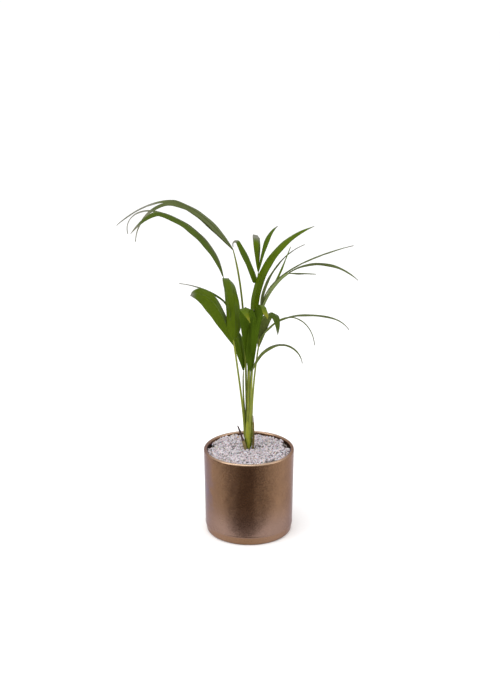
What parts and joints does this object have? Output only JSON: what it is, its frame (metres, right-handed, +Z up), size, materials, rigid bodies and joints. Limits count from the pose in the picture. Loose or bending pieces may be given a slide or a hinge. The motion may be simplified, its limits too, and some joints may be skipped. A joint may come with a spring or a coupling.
{
  "type": "potted palm",
  "caption": "Young feather-leaved palm in a straight round pot topped with white gravel, with slim arching fronds on upright petioles.",
  "frame": {"origin": "centre of the pot's flat underside", "axes": "+Z up along the pot's axis, -Y towards the front that the picture shows, +X to its right"},
  "size_m": [0.3096, 0.2127, 0.4499],
  "materials": {
    "pot_glaze": "metallic bronze glaze, softly reflective",
    "potting_soil": "dark crumbly mix, matt",
    "white_gravel": "rough broken chips, matt",
    "stem": "smooth living stem, satin",
    "dried_sheath": "dry papery sheath, matt",
    "petiole": "smooth green stalk, satin",
    "leaf": "smooth leaf with a satin sheen"
  },
  "bodies": {
    "root": {"pot": "pot_glaze", "soil": "potting_soil", "gravel": "white_gravel", "stem_left": "stem", "stem_front": "stem", "stem_right": "stem", "stem_back": "stem", "dried_sheath_left": "dried_sheath", "dried_sheath_right": "dried_sheath", "petiole_top_left": "petiole", "petiole_left": "petiole", "petiole_low_left": "petiole", "petiole_front": "petiole", "petiole_centre": "petiole", "petiole_right": "petiole", "petiole_low_right": "petiole", "petiole_low": "petiole", "petiole_rear": "petiole", "frond_top_left": "leaf", "frond_left": "leaf", "frond_low_left": "leaf", "frond_front": "leaf", "frond_centre": "leaf", "frond_right": "leaf", "frond_low_right": "leaf", "frond_low": "leaf", "frond_rear": "leaf", "frond_top_left_long_tip": "leaf", "frond_top_left_hooked_tip": "leaf", "frond_left_inner_tip": "leaf", "frond_left_outer_tip": "leaf", "frond_low_right_long_tip": "leaf", "frond_low_arching_tip": "leaf"}
  },
  "joints": []
}
